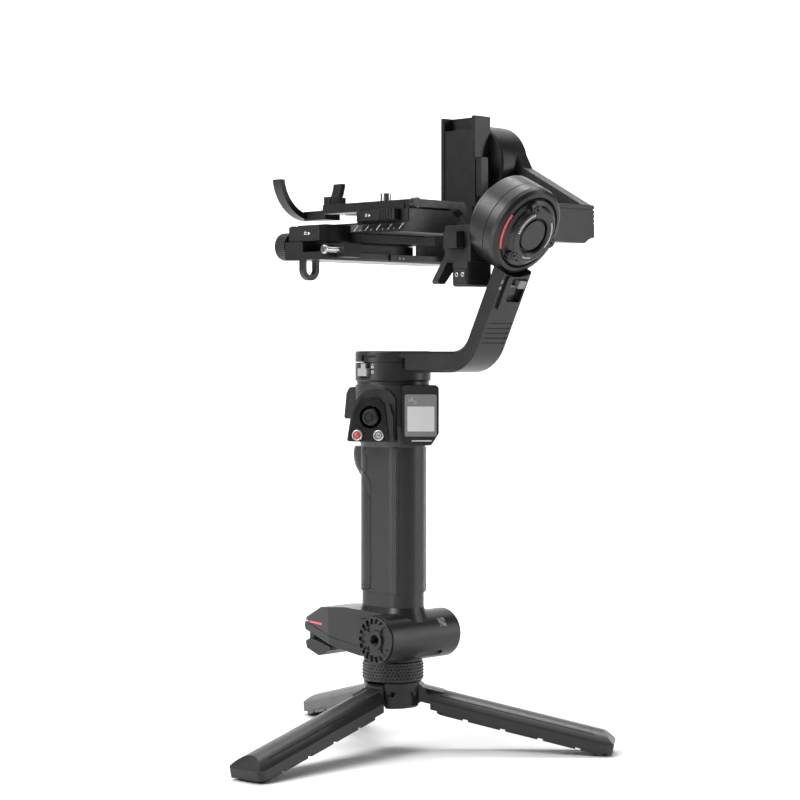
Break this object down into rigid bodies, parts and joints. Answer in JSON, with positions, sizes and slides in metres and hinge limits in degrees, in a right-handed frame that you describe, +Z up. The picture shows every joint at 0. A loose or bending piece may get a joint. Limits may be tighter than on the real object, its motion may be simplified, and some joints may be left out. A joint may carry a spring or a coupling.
{
  "type": "gimbal stabilizer",
  "caption": "Hand-held camera gimbal with slanted roll motor, adjustable arms, quick-release camera stage, control head and folding mini tripod.",
  "frame": {"origin": "mouth of the quarter-inch socket in the underside of the tripod hub, on the pan axis", "axes": "+Z up along the pan axis, +Y towards the lens, +X towards the tilt motor"},
  "size_m": [0.2213, 0.2385, 0.371],
  "materials": {
    "black_plastic": "fine matte texture",
    "black_aluminium": "satin black coating",
    "grip_rubber": "soft-touch matte",
    "steel": "plain",
    "copper_winding": "enamelled wire",
    "gloss_black": "gloss",
    "display_glass": "gloss",
    "record_red": "gloss",
    "silver": "satin silver",
    "red_accent": "gloss",
    "battery_wrap": "shrink wrap"
  },
  "bodies": {
    "handle": {"tripod_hub": "black_aluminium", "leg_pins": "black_plastic", "tripod_stud": "steel", "base_housing": "black_plastic", "base_lower_cover": "black_plastic", "base_accent_strips": "red_accent", "accessory_rosette": "black_plastic", "sling_grip_pin": "steel", "grip_shell": "grip_rubber", "grip_front_pad": "black_plastic", "battery_cells": "battery_wrap", "head_housing": "black_plastic", "control_panel": "gloss_black", "display_glass": "display_glass", "pan_motor_housing": "black_plastic", "pan_motor_coil": "copper_winding"},
    "lock_ring": {"tripod_lock_ring": "black_plastic"},
    "leg_1": {"leg_1": "black_plastic"},
    "leg_2": {"leg_2": "black_plastic"},
    "leg_3": {"leg_3": "black_plastic"},
    "sling_grip": {"sling_grip": "black_plastic"},
    "joystick_gimbal": {"joystick_gimbal": "black_plastic"},
    "joystick": {"joystick": "gloss_black"},
    "record_button": {"record_button": "record_red"},
    "mode_button": {"mode_button": "silver"},
    "trigger": {"trigger": "black_plastic"},
    "control_wheel": {"control_wheel": "black_plastic"},
    "pan_lock": {"pan_lock_slider": "silver"},
    "pan_frame": {"pan_rotor_cover": "black_plastic", "pan_shaft": "steel", "pan_arm": "black_aluminium", "roll_motor_housing": "black_aluminium", "roll_cap_ring": "gloss_black", "roll_cap_screws": "steel", "roll_cap_accent": "red_accent", "roll_motor_coil": "copper_winding"},
    "roll_lock": {"roll_lock_slider": "silver"},
    "roll_frame": {"roll_rotor_housing": "black_aluminium", "roll_shaft": "steel", "port_block": "black_plastic"},
    "roll_arm_lock": {"roll_arm_lock_lever": "black_plastic"},
    "roll_arm": {"roll_arm": "black_aluminium", "tilt_motor_coil": "copper_winding"},
    "tilt_lock": {"tilt_lock_slider": "silver"},
    "tilt_frame": {"tilt_rotor_housing": "black_aluminium", "tilt_shaft": "steel"},
    "tilt_arm_lock": {"tilt_arm_lock_lever": "black_plastic"},
    "tilt_arm": {"tilt_arm": "black_aluminium", "stage_rail": "black_aluminium", "accessory_ring": "black_plastic"},
    "stage_lock": {"stage_lock_lever": "black_plastic"},
    "fine_knob": {"fine_adjust_knob": "black_plastic"},
    "stage_pin": {"stage_lock_pin": "steel"},
    "slide_plate": {"slide_plate": "black_aluminium", "quick_release_clamp": "black_aluminium"},
    "quick_lock": {"quick_release_lock_lever": "black_plastic"},
    "quick_lever": {"quick_release_lever": "black_plastic"},
    "camera_plate": {"camera_plate": "black_aluminium"},
    "camera_screw": {"camera_screw": "steel"},
    "lens_support": {"lens_support": "black_aluminium"}
  },
  "joints": [
    {"name": "lock_ring_turn", "type": "hinge", "parent": "handle", "child": "lock_ring", "pos_m": [0, 0, 0.024], "axis": [0, 0, 1], "continuous": true},
    {"name": "leg_1_fold", "type": "hinge", "parent": "handle", "child": "leg_1", "pos_m": [-0.01341, -0.00153, 0.0085], "axis": [0.1132, -0.9936, 0], "range_deg": [0, 62]},
    {"name": "leg_2_fold", "type": "hinge", "parent": "handle", "child": "leg_2", "pos_m": [0.00803, -0.01085, 0.0085], "axis": [0.8039, 0.5948, 0], "range_deg": [0, 62]},
    {"name": "leg_3_fold", "type": "hinge", "parent": "handle", "child": "leg_3", "pos_m": [0.00538, 0.01238, 0.0085], "axis": [-0.9171, 0.3987, 0], "range_deg": [0, 62]},
    {"name": "sling_grip_fold", "type": "hinge", "parent": "handle", "child": "sling_grip", "pos_m": [0, 0.06, 0.0345], "axis": [1, 0, 0], "range_deg": [0, 90]},
    {"name": "joystick_sideways", "type": "hinge", "parent": "handle", "child": "joystick_gimbal", "pos_m": [-0.01832, -0.00283, 0.1678], "axis": [0, 0, 1], "range_deg": [-8, 8], "stiffness_Nm_per_rad": 0.02},
    {"name": "joystick_up_down", "type": "hinge", "parent": "joystick_gimbal", "child": "joystick", "pos_m": [-0.01832, -0.00283, 0.1678], "axis": [0.4695, -0.8829, 0], "range_deg": [-8, 8], "stiffness_Nm_per_rad": 0.02},
    {"name": "record_press", "type": "slide", "parent": "handle", "child": "record_button", "axis": [0.8829, 0.4695, 0], "range_m": [0, 0.0008], "stiffness_N_per_m": 600},
    {"name": "mode_press", "type": "slide", "parent": "handle", "child": "mode_button", "axis": [0.8829, 0.4695, 0], "range_m": [0, 0.0008], "stiffness_N_per_m": 600},
    {"name": "trigger_pull", "type": "hinge", "parent": "handle", "child": "trigger", "pos_m": [0, 0.0205, 0.1742], "axis": [-1, 0, 0], "range_deg": [0, 10], "stiffness_Nm_per_rad": 0.08},
    {"name": "control_wheel_turn", "type": "hinge", "parent": "handle", "child": "control_wheel", "pos_m": [0.0175, 0, 0.1702], "axis": [0, 1, 0], "continuous": true},
    {"name": "pan_lock_slide", "type": "slide", "parent": "handle", "child": "pan_lock", "axis": [0, 0, 1], "range_m": [0, 0.0024]},
    {"name": "pan", "type": "hinge", "parent": "handle", "child": "pan_frame", "pos_m": [0, 0, 0.2], "axis": [0, 0, 1], "continuous": true},
    {"name": "roll_lock_slide", "type": "slide", "parent": "pan_frame", "child": "roll_lock", "axis": [0, -0.4384, 0.8988], "range_m": [-0.0025, 0]},
    {"name": "roll", "type": "hinge", "parent": "pan_frame", "child": "roll_frame", "pos_m": [0, -0.109, 0.268], "axis": [0, 0.8988, 0.4384], "range_deg": [-180, 40]},
    {"name": "roll_arm_lock_turn", "type": "hinge", "parent": "roll_frame", "child": "roll_arm_lock", "pos_m": [-0.0105, -0.0615, 0.2588], "axis": [0, 1, 0], "range_deg": [0, 60]},
    {"name": "roll_arm_slide", "type": "slide", "parent": "roll_frame", "child": "roll_arm", "axis": [1, 0, 0], "range_m": [-0.005, 0.024]},
    {"name": "tilt_lock_slide", "type": "slide", "parent": "roll_arm", "child": "tilt_lock", "axis": [0, 1, 0], "range_m": [0, 0.003]},
    {"name": "tilt", "type": "hinge", "parent": "roll_arm", "child": "tilt_frame", "pos_m": [0.08, 0, 0.318], "axis": [1, 0, 0], "range_deg": [-45, 130]},
    {"name": "tilt_arm_lock_turn", "type": "hinge", "parent": "tilt_frame", "child": "tilt_arm_lock", "pos_m": [0.0586, -0.0165, 0.3], "axis": [0, 1, 0], "range_deg": [-50, 0]},
    {"name": "tilt_arm_slide", "type": "slide", "parent": "tilt_frame", "child": "tilt_arm", "axis": [0, 0, 1], "range_m": [-0.012, 0.005]},
    {"name": "stage_lock_turn", "type": "hinge", "parent": "tilt_arm", "child": "stage_lock", "pos_m": [-0.0475, 0.0332, 0.273], "axis": [0, 0, 1], "range_deg": [-60, 0]},
    {"name": "fine_knob_turn", "type": "hinge", "parent": "tilt_arm", "child": "fine_knob", "pos_m": [-0.044, 0.036, 0.266], "axis": [0, 1, 0], "range_deg": [-346.6, 346.6]},
    {"name": "stage_pin_press", "type": "slide", "parent": "tilt_arm", "child": "stage_pin", "axis": [1, 0, 0], "range_m": [0, 0.003], "stiffness_N_per_m": 400},
    {"name": "slide_plate_slide", "type": "slide", "parent": "tilt_arm", "child": "slide_plate", "axis": [0, 1, 0], "range_m": [-0.012, 0.012]},
    {"name": "quick_lock_turn", "type": "hinge", "parent": "slide_plate", "child": "quick_lock", "pos_m": [-0.0225, 0.0044, 0.283], "axis": [0, 0, 1], "range_deg": [-50, 0]},
    {"name": "quick_lever_turn", "type": "hinge", "parent": "slide_plate", "child": "quick_lever", "pos_m": [-0.0167, -0.034, 0.2893], "axis": [0, 1, 0], "range_deg": [0, 80]},
    {"name": "camera_plate_slide", "type": "slide", "parent": "slide_plate", "child": "camera_plate", "axis": [0, 1, 0], "range_m": [-0.004, 0.012]},
    {"name": "camera_screw_turn", "type": "hinge", "parent": "camera_plate", "child": "camera_screw", "pos_m": [0, 0.006, 0.29], "axis": [0, 0, 1], "continuous": true},
    {"name": "lens_support_slide", "type": "slide", "parent": "camera_plate", "child": "lens_support", "axis": [0, 1, 0], "range_m": [0, 0.012]}
  ],
  "couplings": [
    {"joint": "fine_knob_turn", "follows": "slide_plate_slide", "rad_per_m": 502.65}
  ]
}
